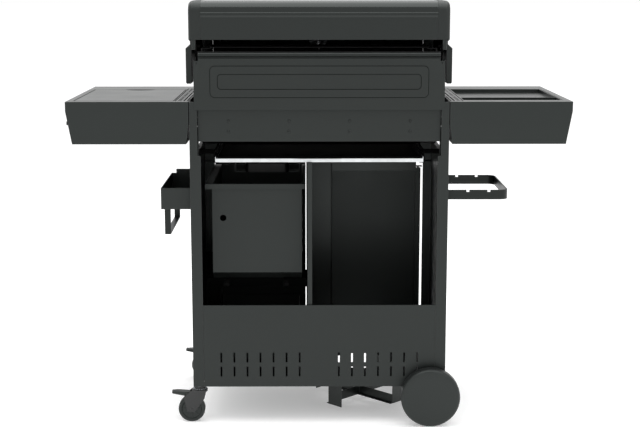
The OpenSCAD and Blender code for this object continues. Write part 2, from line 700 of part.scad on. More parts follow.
module drip_tray() color("#c3c7c9") at_rear() difference() {
  union() {
    pan([-tray_x, tray_x], [tray_front, tray_rear], tray_z, 1.5);
    block([-60, 60], [tray_rear - 0.5, tray_rear + 9], [745, 747]);
  }
  rod_z(cup_x, cup_y, 730, 3.5, 12);
  rod_z(cup_x, cup_y + 12, 730, 3.5, 12);
}
module grease_cup() color("#9a9fa2") at_rear() difference() {
  translate([cup_x, cup_y, 687.2]) linear_extrude(25) round_rect(124, 92, 14);
  translate([cup_x, cup_y, 688.4]) linear_extrude(30) round_rect(121.6, 89.6, 12.8);
}

// a swivel fork that carries a wheel on its own axle, drawn for the rear caster
module caster_fork() {
  difference() {
    union() {
      rod_z(caster_x, 0, 88, 22, 6);
      rod_z(caster_x, 0, 94, 15, 7.5);
      for (side = [0, 1]) mirror([0, side, 0]) along_y(14, 16.5) polygon([[caster_x - 18, 93],
        [caster_x + 20, 93], [trail_x + 22, 74], [trail_x + 12, caster_z - 6],
        [trail_x - 8, caster_z - 8], [caster_x - 14, 70]]);
    }
    rod_z(caster_x, 0, 85, 5.05, 20);
    rod_z(caster_x, 0, 101.5, 15, 5);
  }
  rod_y(trail_x, -18.5, caster_z, 4, 37);
}
module caster_wheel() difference() {
  union() {
    rod_y(trail_x, -11, caster_z, caster_d / 2 - 1.2, 22);
    rod_y(trail_x, -8.5, caster_z, caster_d / 2, 17);
    rod_y(trail_x, -13.5, caster_z, 10, 27);
  }
  rod_y(trail_x, -14, caster_z, 4.05, 28);
  for (side = [0, 1]) mirror([0, side, 0]) translate([trail_x, 8, caster_z]) rotate([-90, 0, 0])
    difference() {
      cylinder(r = 28, h = 4);
      translate([0, 0, -1]) cylinder(r = 10, h = 6);
    }
}
lever_pin = [trail_x + 12, 80];
module brake_lever() difference() {
  union() {
    along_y(-11, 11) polygon([[trail_x + 5, 77.5], [trail_x + 18, 75.5], [trail_x + 54, 83],
      [trail_x + 55, 88], [trail_x + 36, 89], [trail_x + 5, 86.5]]);
  }
  rod_y(lever_pin[0], -12, lever_pin[1] + 2, 3.05, 24);
}
module lever_axle() rod_y(lever_pin[0], -15, lever_pin[1] + 2, 3, 30);
module caster_fork_rear() color("#1d1f20") at_rear() translate([0, caster_ys[0], 0]) {
  caster_fork();
  lever_axle();
}
module caster_fork_front() color("#1d1f20") at_rear() translate([0, caster_ys[1], 0]) {
  caster_fork();
  lever_axle();
}
module caster_wheel_rear() color("#1d1f20") at_rear() translate([0, caster_ys[0], 0]) caster_wheel();
module caster_wheel_front() color("#1d1f20") at_rear() translate([0, caster_ys[1], 0]) caster_wheel();
module brake_lever_rear() color("#1d1f20") at_rear() translate([0, caster_ys[0], 0]) brake_lever();
module brake_lever_front() color("#1d1f20") at_rear() translate([0, caster_ys[1], 0]) brake_lever();

module big_wheel(y) difference() {
  union() {
    rod_y(wheel_x, y + 3, wheel_z, wheel_d / 2, wheel_w - 6);
    rod_y(wheel_x, y, wheel_z, wheel_d / 2 - 3.5, wheel_w);
  }
  rod_y(wheel_x, y - 1, wheel_z, 6.05, wheel_w + 2);
}
module big_wheel_rear() color("#232526") at_rear() big_wheel(wheel_ys[0]);
module big_wheel_front() color("#232526") at_rear() big_wheel(wheel_ys[1]);

leg_rear_left();
leg_rear_right();
leg_front_left();
leg_front_right();
base_panel();
bottle_cradle();
lower_back_panel();
side_panel_left();
side_panel_right();
partition();
front_frame();
runners();
firebox();
heat_shield();
shield_rail();
back_cover();
cover_screws();
control_panel();
gas_manifold();
burners();
heat_tents();
cooking_grates();
warming_rack();
hinge_brackets();
right_shelf();
side_burner();
side_burner_grate();
left_shelf();
shelf_tray();
tool_caddy();
towel_bar();
tool_rack();
cup_holder();
wheel_axle();
caster_stems();
lid_shell();
lid_end_left();
lid_end_right();
lid_handle();
thermometer();
side_burner_cover();
knob_1();
knob_2();
knob_3();
knob_4();
side_burner_knob();
igniter_button();
door();
upper_drawer();
lower_drawer();
drip_tray();
grease_cup();
caster_fork_rear();
caster_fork_front();
caster_wheel_rear();
caster_wheel_front();
brake_lever_rear();
brake_lever_front();
big_wheel_rear();
big_wheel_front();
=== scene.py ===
import json
import math

import bmesh
import bpy
from mathutils import Matrix, Vector


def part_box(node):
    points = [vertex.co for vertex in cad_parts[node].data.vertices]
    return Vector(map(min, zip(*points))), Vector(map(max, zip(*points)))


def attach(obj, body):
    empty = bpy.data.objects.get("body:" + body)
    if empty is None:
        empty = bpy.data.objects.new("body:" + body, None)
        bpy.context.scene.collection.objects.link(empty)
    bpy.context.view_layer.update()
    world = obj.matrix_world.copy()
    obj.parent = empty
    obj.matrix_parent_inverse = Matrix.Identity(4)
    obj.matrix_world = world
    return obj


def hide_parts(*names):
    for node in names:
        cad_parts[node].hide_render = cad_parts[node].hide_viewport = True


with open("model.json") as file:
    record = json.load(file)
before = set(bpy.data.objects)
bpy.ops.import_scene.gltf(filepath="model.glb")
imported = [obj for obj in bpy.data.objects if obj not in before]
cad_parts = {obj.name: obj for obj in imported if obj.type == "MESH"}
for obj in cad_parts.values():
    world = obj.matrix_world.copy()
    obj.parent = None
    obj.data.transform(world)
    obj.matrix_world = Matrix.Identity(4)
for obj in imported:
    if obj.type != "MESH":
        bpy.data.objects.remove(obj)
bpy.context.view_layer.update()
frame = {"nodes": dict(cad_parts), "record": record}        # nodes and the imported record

record = frame["record"]
bodyOf = {node: body for body, members in record["behaviour"]["bodies"].items() for node in members}
slotOf = {part["node"]: part["material_slot"] for part in record["subparts"]}
mm = 0.001
rearFace = 0.264         # y of the rear face of the legs


class Sock:
    # one output socket, so that maths on it adds Math nodes
    def __init__(self, tree, socket):
        self.tree = tree
        self.socket = socket

    def out(self, name):
        return Sock(self.tree, self.socket.node.outputs[name])

    def math(self, operation, first, second=0.0):
        return self.tree.add("ShaderNodeMath", {"operation": operation}, {0: first, 1: second})

    def __add__(self, other):
        return self.math("ADD", self, other)

    def __radd__(self, other):
        return self.math("ADD", other, self)

    def __sub__(self, other):
        return self.math("SUBTRACT", self, other)

    def __mul__(self, other):
        return self.math("MULTIPLY", self, other)

    def __truediv__(self, other):
        return self.math("DIVIDE", self, other)

    def __mod__(self, other):
        return self.math("MODULO", self, other)

    def __gt__(self, other):
        return self.math("GREATER_THAN", self, other)

    def floor(self):
        return self.math("FLOOR", self)


class Tree:
    # a node tree with the one method that adds to it
    def __init__(self, tree):
        self.tree = tree
        tree.nodes.clear()

    def add(self, kind, settings=None, values=None, out=0):
        node = self.tree.nodes.new(kind)
        for name, value in (settings or {}).items():
            setattr(node, name, value)
        for name, value in (values or {}).items():
            if isinstance(value, Sock):
                self.tree.links.new(value.socket, node.inputs[name])
            else:
                node.inputs[name].default_value = value
        return Sock(self, node.outputs[out]) if node.outputs else node


# finishes, one look for each of the record's slots

# rough, grain, depth and cloud: roughness, scale and depth of the fine grain, and spread of the slow drift
# gloss and tint: level and colour of the reflection; metal: 1 for bare metal; rub: shade of the painted
# highlight on rounded corners
# spangle: scale of the zinc crystals; fleck: shade of the specks; streak: stretch of the brushed grain

coatTint = (0.93, 1.0, 0.97)      # the coats lean a little towards green
looks = {
    "painted_sheet": dict(base=(0.0055, 0.0066, 0.0062), rough=0.44, gloss=0.42, tint=coatTint, grain=700,
                          depth=0.05, cloud=0.12, rub=0.05),
    "inner_sheet": dict(base=(0.0045, 0.0054, 0.0050), rough=0.34, gloss=0.46, tint=coatTint, grain=700,
                        depth=0.05, cloud=0.12, rub=0.04),
    "shelf_paint": dict(base=(0.006, 0.0075, 0.007), rough=0.32, gloss=0.42, tint=coatTint, grain=650,
                        depth=0.05, cloud=0.10, rub=0.05),
    "bar_paint": dict(base=(0.006, 0.0072, 0.0068), rough=0.36, gloss=0.3, tint=coatTint, grain=650,
                      depth=0.04, cloud=0.10, rub=0.06),
    "zinc_steel": dict(base=(0.42, 0.44, 0.46), rough=0.38, metal=1.0, grain=220, depth=0.04, cloud=0.18,
                       spangle=90),
    "galvanised": dict(base=(0.68, 0.70, 0.71), rough=0.42, metal=1.0, grain=160, depth=0.05, cloud=0.2,
                       spangle=70),
    "enamel": dict(base=(0.003, 0.003, 0.0033), rough=0.42, gloss=0.25, grain=380, depth=0.05, cloud=0.2,
                   fleck=0.02),
    "cast_iron": dict(base=(0.018, 0.018, 0.019), rough=0.62, grain=480, depth=0.22, cloud=0.25, rub=0.06,
                      fleck=0.04),
    "stainless": dict(base=(0.55, 0.56, 0.57), rough=0.30, metal=1.0, grain=500, depth=0.06, cloud=0.06,
                      streak=(0.03, 1, 1)),
    "brass": dict(base=(0.62, 0.44, 0.20), rough=0.30, metal=1.0, grain=400, depth=0.05, cloud=0.15,
                  streak=(1, 0.05, 1)),
    "lid_enamel": dict(base=(0.004, 0.005, 0.0047), rough=0.15, gloss=0.44, tint=coatTint, grain=420,
                       depth=0.04, cloud=0.1, rub=0.05),
    "cast_aluminium": dict(base=(0.005, 0.0058, 0.0056), rough=0.42, gloss=0.4, tint=coatTint, grain=900,
                           depth=0.14, cloud=0.14, rub=0.06),
    "handle_steel": dict(base=(0.58, 0.59, 0.60), rough=0.26, metal=1.0, grain=600, depth=0.05, cloud=0.05,
                         streak=(1, 0.03, 0.03)),
    "bezel": dict(base=(0.60, 0.61, 0.62), rough=0.22, metal=1.0, grain=500, depth=0.04, cloud=0.05),
    "knob_plastic": dict(base=(0.011, 0.011, 0.012), rough=0.38, grain=1100, depth=0.10, cloud=0.06,
                         rub=0.05),
    "button_plastic": dict(base=(0.36, 0.37, 0.38), rough=0.34, grain=1100, depth=0.06, cloud=0.05),
    "caster_steel": dict(base=(0.012, 0.013, 0.013), rough=0.40, grain=500, depth=0.05, cloud=0.14, rub=0.12),
    "caster_plastic": dict(base=(0.008, 0.0095, 0.009), rough=0.44, gloss=0.42, tint=coatTint, grain=900,
                           depth=0.10, cloud=0.12, rub=0.07),
    "wheel_plastic": dict(base=(0.0075, 0.009, 0.0086), rough=0.46, gloss=0.44, tint=coatTint, grain=800,
                          depth=0.12, cloud=0.10, rub=0.07),
}
extraLooks = {
    "dialFace": dict(base=(0.62, 0.62, 0.60), rough=0.5, grain=900, depth=0.02, cloud=0.03),
    "dialInk": dict(base=(0.02, 0.02, 0.02), rough=0.5, grain=900, depth=0.02, cloud=0.05),
    "dialRed": dict(base=(0.45, 0.03, 0.02), rough=0.4, grain=900, depth=0.02, cloud=0.05),
    "panelInk": dict(base=(0.5, 0.5, 0.5), rough=0.55, grain=900, depth=0.02, cloud=0.05),
    # painted shade: near-black for the shadow in creases and slots
    "creaseShade": dict(base=(0.002, 0.002, 0.002), rough=0.95, gloss=0.03, grain=900, depth=0.02,
                        cloud=0.05),
    # painted shade: near-black for pieces that sit in shadow
    "paintedShadeBlack": dict(base=(0.002, 0.002, 0.002), rough=0.9, gloss=0.03, grain=380, depth=0.05, cloud=0.2),
    "paleFloor": dict(base=(0.80, 0.80, 0.80), rough=0.9, grain=40, depth=0.01, cloud=0.01, glow=0.3),
}


def makeFinish(name, look):
    material = bpy.data.materials.new(name)
    material.use_nodes = True
    tree = Tree(material.node_tree)
    where = tree.add("ShaderNodeTexCoord", out="Object")

    def noise(scale, detail=2.0, stretch=(1, 1, 1)):
        spot = tree.add("ShaderNodeMapping", {}, {"Vector": where, "Scale": stretch})
        return tree.add("ShaderNodeTexNoise", {}, {"Vector": spot, "Scale": scale, "Detail": detail})

    def blend(factor, first, second):
        return tree.add("ShaderNodeMix", {"data_type": "RGBA"}, {0: factor, 6: first, 7: second}, out=2)

    base = look["base"]
    cloud = noise(9.0, 4.0)              # slow drift of the coat over a whole panel
    grain = noise(look["grain"], 3.0, look.get("streak", (1, 1, 1)))
    spread = look["cloud"]
    dark = tuple(part * (1 - spread) for part in base) + (1,)
    light = tuple(part * (1 + spread) for part in base) + (1,)
    colour = blend(cloud, dark, light)
    rough = look["rough"] + (cloud - 0.5) * 0.12 + (grain - 0.5) * 0.06
    if "spangle" in look:                # crystals of zinc
        crystal = tree.add("ShaderNodeTexVoronoi", {}, {"Vector": where, "Scale": look["spangle"]},
                           out="Color")
        shade = tree.add("ShaderNodeSeparateColor", {}, {0: crystal}, out=0)
        colour = blend(shade * 0.3, colour, tuple(part * 0.7 for part in base) + (1,))
        rough = rough + (shade - 0.5) * 0.14
    if "fleck" in look:
        speck = noise(260.0, 1.0) > 0.66
        colour = blend(speck * 0.6, colour, (look["fleck"],) * 3 + (1,))
    if "rub" in look:                    # painted highlight on the rounded corners
        edge = tree.add("ShaderNodeAttribute", {"attribute_name": "edge"}, out="Fac")
        highlightMask = edge * noise(60.0, 3.0)
        colour = blend(highlightMask, colour, (look["rub"],) * 3 + (1,))
        rough = rough - highlightMask * 0.1
    bump = tree.add("ShaderNodeBump", {}, {"Height": grain, "Strength": look["depth"], "Distance": 0.001})
    tree.add("ShaderNodeOutputMaterial", {}, {"Surface": tree.add("ShaderNodeBsdfPrincipled", {}, {
        "Base Color": colour, "Roughness": rough, "Normal": bump,
        "Metallic": look.get("metal", 0.0),
        "Specular IOR Level": look.get("gloss", 0.5), "Specular Tint": look.get("tint", (1, 1, 1)) + (1,),
        "Emission Color": (1, 1, 1, 1), "Emission Strength": look.get("glow", 0.0)})})
    return material


finishes = {name: makeFinish(name, look) for name, look in {**looks, **extraLooks}.items()}
print("finishes made:", len(finishes))


# mesh helpers

def plainMesh(source):
    graph = bpy.context.evaluated_depsgraph_get()
    return bpy.data.meshes.new_from_object(source.evaluated_get(graph))


def linked(name, data):
    piece = bpy.data.objects.new(name, data)
    bpy.context.scene.collection.objects.link(piece)
    return piece


def dropped(piece):
    mesh = piece.data
    bpy.data.objects.remove(piece)
    bpy.data.meshes.remove(mesh)


def settle(name, bm, material, sharp=40):
    # a bmesh as a finished mesh, smooth up to the sharp angle in degrees, with flat faces kept flat
    mesh = bpy.data.meshes.new(name)
    bm.to_mesh(mesh)
    bm.free()
    mesh.shade_smooth()
    mesh.set_sharp_from_angle(angle=math.radians(sharp))
    mesh.materials.clear()
    mesh.materials.append(material)
    draft = linked(name + "Draft", mesh)
    even = draft.modifiers.new("even", "WEIGHTED_NORMAL")
    even.keep_sharp = True
    final = plainMesh(draft)
    dropped(draft)
    final.name = name
    return final


def place(name, mesh, body, replaced=()):
    piece = linked(name, mesh)
    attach(piece, body)
    if replaced:
        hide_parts(*replaced)
    return piece


def make(name, bm, node, replaced=(), material=None):
    # a piece with the body and finish of the CAD node that it belongs to
    slot = slotOf[node]
    mesh = settle(name, bm, material or finishes[slot])
    return place(name, mesh, bodyOf[node], replaced)


def roundEdges(bm, width):
    # rounds every sharp edge and marks the new faces in the edge attribute, where the finishes paint a
    # highlight
    highlightMask = bm.faces.layers.float.get("edge") or bm.faces.layers.float.new("edge")
    limit = math.radians(30)
    sharp = [e for e in bm.edges if len(e.link_faces) == 2 and e.calc_face_angle() > limit]
    made = bmesh.ops.bevel(bm, geom=sharp, offset=width, segments=2, profile=0.5,
                           affect="EDGES", clamp_overlap=True)
    for face in made["faces"]:
        face[highlightMask] = 1.0


def block(bm, xs, ys, zs, width=0.0):
    part = bmesh.new()
    bmesh.ops.create_cube(part, size=1)
    size = (xs[1] - xs[0], ys[1] - ys[0], zs[1] - zs[0])
    middle = ((xs[0] + xs[1]) / 2, (ys[0] + ys[1]) / 2, (zs[0] + zs[1]) / 2)
    bmesh.ops.scale(part, verts=part.verts, vec=size)
    bmesh.ops.translate(part, verts=part.verts, vec=middle)
    if width:
        roundEdges(part, width)
    joinInto(bm, part)


def joinInto(bm, part, matrix=None):
    if matrix is not None:
        bmesh.ops.transform(part, matrix=matrix, verts=part.verts)
    mesh = bpy.data.meshes.new("part")
    part.to_mesh(mesh)
    part.free()
    bm.from_mesh(mesh)
    bpy.data.meshes.remove(mesh)


def arcPoints(cx, cy, radius, start, end, steps):
    turns = [math.radians(start + (end - start) * i / steps) for i in range(steps + 1)]
    return [(cx + radius * math.cos(turn), cy + radius * math.sin(turn)) for turn in turns]


def roundedFrame(width, height, corner, steps, grow, lift=0.0):
    # an outline with round corners about the middle, grown outwards and lifted
    w, h, r = width / 2 + grow, height / 2 + grow, corner + grow
    corners = ((w - r, h - r, 0), (-w + r, h - r, 90), (-w + r, -h + r, 180), (w - r, -h + r, 270))
    return [(x, z + lift) for cx, cz, start in corners
            for x, z in arcPoints(cx, cz, r, start, start + 90, steps)]


def toAxis(axis, a, b, along):
    # a point of an outline in the two other axes, at a place along the axis
    return {"x": (along, a, b), "y": (a, along, b), "z": (a, b, along)}[axis]


def lathe(bm, profile, centre, axis, steps=64):
    # profile is (radius, place along the axis) from one end to the other, with both ends on the axis
    part = bmesh.new()
    rings = []
    for radius, along in profile:
        if radius < 1e-6:
            rings.append([part.verts.new(toAxis(axis, 0, 0, along))])
            continue
        turns = [2 * math.pi * i / steps for i in range(steps)]
        spots = [toAxis(axis, radius * math.cos(turn), radius * math.sin(turn), along) for turn in turns]
        rings.append([part.verts.new(spot) for spot in spots])
    for first, second in zip(rings, rings[1:]):
        for i in range(steps):
            j = (i + 1) % steps
            corners = [first[i % len(first)], first[j % len(first)],
                       second[j % len(second)], second[i % len(second)]]
            unique = list(dict.fromkeys(corners))
            if len(unique) > 2:
                part.faces.new(unique)
    bmesh.ops.recalc_face_normals(part, faces=part.faces)
    joinInto(bm, part, Matrix.Translation(centre))


def prism(bm, outline, lo, hi, axis, width=0.0):
    part = bmesh.new()
    ends = [[part.verts.new(toAxis(axis, a, b, along)) for a, b in outline] for along in (lo, hi)]
    for end in ends:
        part.faces.new(end)
    for i in range(len(outline)):
        j = (i + 1) % len(outline)
        part.faces.new((ends[0][i], ends[0][j], ends[1][j], ends[1][i]))
    bmesh.ops.recalc_face_normals(part, faces=part.faces)
    if width:
        roundEdges(part, width)
    joinInto(bm, part)


def band(bm, outer, inner, lo, hi, axis, closed):
    # a wall between two outlines with the same count of points
    part = bmesh.new()
    lines = [[part.verts.new(toAxis(axis, a, b, along)) for a, b in line]
             for along in (lo, hi) for line in (outer, inner)]
    count = len(outer)
    for i in range(count if closed else count - 1):
        j = (i + 1) % count
        for first, second in ((0, 1), (2, 3), (0, 2), (1, 3)):
            part.faces.new((lines[first][i], lines[first][j], lines[second][j], lines[second][i]))
    if not closed:
        for i in (0, count - 1):
            part.faces.new((lines[0][i], lines[1][i], lines[3][i], lines[2][i]))
    bmesh.ops.recalc_face_normals(part, faces=part.faces)
    joinInto(bm, part)


def rod(bm, axis, centre, radius, length, steps=24):
    # a rod from a centre along +axis, with chamfered tips
    tip = radius * 0.12
    profile = [(0, 0), (radius - tip, 0), (radius, tip), (radius, length - tip), (radius - tip, length),
               (0, length)]
    lathe(bm, profile, centre, axis, steps)


# node trees that repeat a small part in rows or in a ring

def copyTree(name, sockets):
    tree = bpy.data.node_groups.new(name, "GeometryNodeTree")
    tree.interface.new_socket(name="Geometry", in_out="OUTPUT", socket_type="NodeSocketGeometry")
    for title, kind in sockets.items():
        tree.interface.new_socket(name=title, in_out="INPUT", socket_type="NodeSocket" + kind)
    return tree


def closeTree(graph, given, points, rotation=None):
    seed = graph.add("GeometryNodeObjectInfo", {"transform_space": "ORIGINAL"}, {"Object": given.out("Part")},
                     out="Geometry")
    values = {"Points": points, "Instance": seed}
    if rotation is not None:
        values["Rotation"] = rotation
    copies = graph.add("GeometryNodeInstanceOnPoints", {}, values)
    solid = graph.add("GeometryNodeRealizeInstances", {}, {0: copies})
    coated = graph.add("GeometryNodeSetMaterial", {}, {"Geometry": solid, "Material": given.out("Material")})
    graph.add("NodeGroupOutput", {}, {"Geometry": coated})


def makeRowTree():
    tree = copyTree("rowsOfCopies", {"Part": "Object", "Count": "Int", "Step": "Vector", "Rows": "Int",
                                     "Row Step": "Vector", "Start": "Vector", "Material": "Material"})
    graph = Tree(tree)
    given = graph.add("NodeGroupInput")
    count = given.out("Count")
    index = graph.add("GeometryNodeInputIndex")
    along = graph.add("ShaderNodeVectorMath", {"operation": "SCALE"},
                      {0: given.out("Step"), "Scale": index % count})
    across = graph.add("ShaderNodeVectorMath", {"operation": "SCALE"},
                       {0: given.out("Row Step"), "Scale": (index / count + 0.001).floor()})
    both = graph.add("ShaderNodeVectorMath", {"operation": "ADD"}, {0: along, 1: across})
    spot = graph.add("ShaderNodeVectorMath", {"operation": "ADD"}, {0: both, 1: given.out("Start")})
    points = graph.add("GeometryNodePoints", {}, {"Count": count * given.out("Rows"), "Position": spot})
    closeTree(graph, given, points)
    return tree


def makeRingTree():
    tree = copyTree("ringOfCopies", {"Part": "Object", "Count": "Int", "Axis": "Vector", "Arc": "Float",
                                     "Centre": "Vector", "Material": "Material"})
    graph = Tree(tree)
    given = graph.add("NodeGroupInput")
    count = given.out("Count")
    index = graph.add("GeometryNodeInputIndex")
    turn = graph.add("FunctionNodeAxisAngleToRotation", {},
                     {"Axis": given.out("Axis"), "Angle": index * given.out("Arc") / count})
    points = graph.add("GeometryNodePoints", {}, {"Count": count, "Position": given.out("Centre")})
    closeTree(graph, given, points, turn)
    return tree


rowTree = makeRowTree()
ringTree = makeRingTree()


def repeat(name, tree, seed, node, inputs, material=None, replaced=()):
    # runs a tree on a seed part and keeps the result as one plain mesh
    finish = material or finishes[slotOf[node]]
    part = linked(name + "Seed", settle(name + "Seed", seed, finish))
    host = linked(name + "Host", bpy.data.meshes.new(name + "Host"))
    copies = host.modifiers.new("copies", "NODES")
    copies.node_group = tree
    inputs = dict(inputs, Part=part, Material=finish)
    for item in tree.interface.items_tree:
        if item.in_out == "INPUT":
            copies[item.identifier] = inputs[item.name]
    mesh = plainMesh(host)
    host.modifiers.remove(copies)
    dropped(host)
    dropped(part)
    return place(name, mesh, bodyOf[node], replaced)


def rows(count, step, start, rowCount=1, rowStep=(0, 0, 0)):
    return {"Count": count, "Step": step, "Start": start, "Rows": rowCount, "Row Step": rowStep}


def ring(count, axis, centre, arc=360.0):
    return {"Count": count, "Axis": axis, "Centre": centre, "Arc": math.radians(arc)}


# the lid: a rolled sheet between two cast ends

lid = dict(rearCorner=30 * mm, frontCurve=170 * mm, bandDrop=104 * mm, sheet=2 * mm, casting=5 * mm,
           endCap=4 * mm, roundOver=14 * mm, bead=2 * mm, beadHeight=13 * mm, beadDrop=31 * mm,
           outside=354 * mm, skirtStart=14 * mm, skirtSetback=60 * mm)
skirt = dict(inner=350 * mm, face=366.5 * mm, foot=945 * mm, shoulder=1053 * mm, top=1068 * mm)
lug = dict(x=339.2 * mm, half=5.3 * mm, low=1041 * mm, high=1098 * mm, front=-49 * mm, rear=-32 * mm)


def lidProfile(rear, front, top, inset):
    small, large = lid["rearCorner"], lid["frontCurve"]
    return ([(rear - inset, top - lid["bandDrop"])]
            + arcPoints(rear - small, top - small, small - inset, 0, 90, 16)
            + arcPoints(front + large, top - large, large - inset, 90, 180, 48))


shellLow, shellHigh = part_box("lid_shell")
lidRear = shellHigh.y - lid["bead"]
lidFront = shellLow.y
lidTop = shellHigh.z


def makeLidShell():
    bm = bmesh.new()
    outer = lidProfile(lidRear, lidFront, lidTop, 0)
    inner = lidProfile(lidRear, lidFront, lidTop, lid["sheet"])
    band(bm, outer, inner, shellLow.x, shellHigh.x, "x", False)
    roundEdges(bm, 0.5 * mm)
    # the pressed bead is a slice of a wide circle
    half = lid["beadHeight"] / 2
    radius = (half ** 2 + lid["bead"] ** 2) / (2 * lid["bead"])
    spread = math.degrees(math.asin(half / radius))
    bead = arcPoints(lidRear + lid["bead"] - radius, lidTop - lid["beadDrop"] - half, radius,
                     -spread, spread, 12)
    prism(bm, bead, shellLow.x, shellHigh.x, "x")
    make("lidShell", bm, "lid_shell", ["lid_shell"])


def makeLidEnd(node, side):
    bm = bmesh.new()
    inside = shellHigh.x + 0.3 * mm
    outside = lid["outside"]
    over = lid["roundOver"]
    stations = [(inside, 0.0)]
    for i in range(9):
        turn = math.radians(90 * i / 8)
        stations.append((outside - over + over * math.sin(turn), over - over * math.cos(turn)))
    part = bmesh.new()

    def line(x, inset):
        return [part.verts.new((x * side, a, b)) for a, b in lidProfile(lidRear, lidFront, lidTop, inset)]

    outer = [line(x, inset) for x, inset in stations]
    inner = [line(inside, lid["casting"]), line(outside - over, lid["casting"]),
             line(outside - lid["endCap"], over + 2 * mm)]
    last = len(outer[0]) - 1
    for strip in (outer, inner, [outer[0], inner[0]]):
        for first, second in zip(strip, strip[1:]):
            for i in range(last):
                part.faces.new((first[i], first[i + 1], second[i + 1], second[i]))
    part.faces.new(outer[-1])
    part.faces.new(inner[-1])
    for i in (0, last):
        part.faces.new([row[i] for row in outer] + [row[i] for row in reversed(inner)])
    part.faces.new((outer[-1][0], outer[-1][last], inner[-1][last], inner[-1][0]))
    bmesh.ops.recalc_face_normals(part, faces=part.faces)
    joinInto(bm, part)
    # skirt with a chamfered top and a rounded foot
    k, f, g = skirt["inner"], skirt["face"], skirt["foot"]
    outline = [(k + 1 * mm, g + 2 * mm), (k + 3 * mm, g), (f - 2.5 * mm, g), (f, g + 3 * mm),
               (f, skirt["shoulder"] - 11 * mm), (k + 4 * mm, skirt["shoulder"]), (k + 4 * mm, skirt["top"]),
               (k, skirt["top"]), (k, g + 55 * mm)]
    prism(bm, [(x * side, z) for x, z in outline], lidFront + lid["skirtStart"],
          lidRear - lid["skirtSetback"], "y", 1.2 * mm)
    left, right = lug["x"] - lug["half"], lug["x"] + lug["half"]
    ear = [(left, lug["low"]), (right, lug["low"]), (right, lug["high"]), (left, lug["high"])]
    prism(bm, [(x * side, z) for x, z in ear], rearFace + lug["front"], rearFace + lug["rear"], "y", 1 * mm)
    make("lidEnd" + ("Right" if side > 0 else "Left"), bm, node, [node])


handle = dict(radius=12 * mm, post=8 * mm, collar=11 * mm, collarLength=5 * mm, collarBack=13 * mm,
              postBack=7 * mm, postX=270 * mm)


def makeHandle():
    low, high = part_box("lid_handle")
    y = low.y + handle["radius"]
    z = (low.z + high.z) / 2
    bm = bmesh.new()
    r = handle["radius"]
    ends = [(0, 0), (r * 0.6, 0), (r * 0.9, 0.8 * mm), (r, 3 * mm), (r, 9 * mm), (r * 0.93, 9.6 * mm),
            (r * 0.93, 11 * mm), (r, 11.6 * mm)]
    length = high.x - low.x
    profile = ends + [(radius, length - along) for radius, along in reversed(ends)]
    lathe(bm, profile, (low.x, y, z), "x", 48)
    for x in (-handle["postX"], handle["postX"]):
        rod(bm, "y", (x, y, z), handle["post"], high.y - handle["postBack"] - y, 32)
        collar = high.y - handle["collarBack"] - handle["collarLength"]
        rod(bm, "y", (x, collar, z), handle["collar"], handle["collarLength"], 32)
    make("lidHandle", bm, "lid_handle", ["lid_handle"])


gauge = dict(y=-492 * mm, z=1052 * mm, tilt=73, bezel=36 * mm, face=30 * mm, ticks=31, sweep=279)


def makeGauge():
    turn = Matrix.Translation((0, rearFace + gauge["y"], gauge["z"])) @ Matrix.Rotation(
        math.radians(gauge["tilt"]), 4, "X")

    def turned(build):
        part = bmesh.new()
        build(part)
        bm = bmesh.new()
        joinInto(bm, part, turn)
        return bm

    def bezel(bm):
        r, f = gauge["bezel"], gauge["face"]
        lathe(bm, [(0, -8 * mm), (28 * mm, -8 * mm), (28 * mm, 0), (r - 1 * mm, 0), (r, 1 * mm),
                   (r, 11 * mm), (r - 1.5 * mm, 14.5 * mm), (r - 3.5 * mm, 16 * mm),
                   (f + 0.6 * mm, 14.6 * mm), (f, 11 * mm), (0, 11 * mm)], (0, 0, 0), "z", 72)
        rod(bm, "z", (0, 0, -60 * mm), 3 * mm, 55 * mm, 20)

    def face(bm):
        lathe(bm, [(0, 11 * mm), (gauge["face"] - 0.3 * mm, 11 * mm), (gauge["face"] - 0.3 * mm, 11.5 * mm),
                   (0, 11.5 * mm)], (0, 0, 0), "z", 72)

    def needle(bm):
        prism(bm, [(-1.1 * mm, -6 * mm), (1.1 * mm, -6 * mm), (0.35 * mm, 24 * mm), (-0.35 * mm, 24 * mm)],
              12.4 * mm, 13 * mm, "z")
        rod(bm, "z", (0, 0, 11.5 * mm), 2.6 * mm, 2.2 * mm, 24)

    make("thermometerBezel", turned(bezel), "thermometer", ["thermometer"])
    make("thermometerFace", turned(face), "thermometer", material=finishes["dialFace"])
    make("thermometerNeedle", turned(needle), "thermometer", material=finishes["dialRed"])
    tick = turned(lambda bm: block(bm, (-0.35 * mm, 0.35 * mm), (22.5 * mm, 27 * mm), (11.5 * mm, 11.8 * mm)))
    axis = turn.to_3x3() @ Vector((0, 0, 1))
    centre = turn.to_translation()
    bmesh.ops.translate(tick, verts=tick.verts, vec=-centre)
    repeat("thermometerTicks", ringTree, tick, "thermometer",
           ring(gauge["ticks"], axis, centre, gauge["sweep"]), finishes["dialInk"])


makeLidShell()
makeLidEnd("lid_end_left", -1)
makeLidEnd("lid_end_right", 1)
makeHandle()
makeGauge()
print("lid made")


# knobs with a fluted grip, a bright ring and a pointer

knob = dict(flange=22 * mm, flangeHeight=8 * mm, grip=18 * mm, height=24 * mm, flutes=28, flute=0.9 * mm,
            bar=27 * mm, barHalf=4 * mm, ticks=9, sweep=234, scaleBack=0.9 * mm)


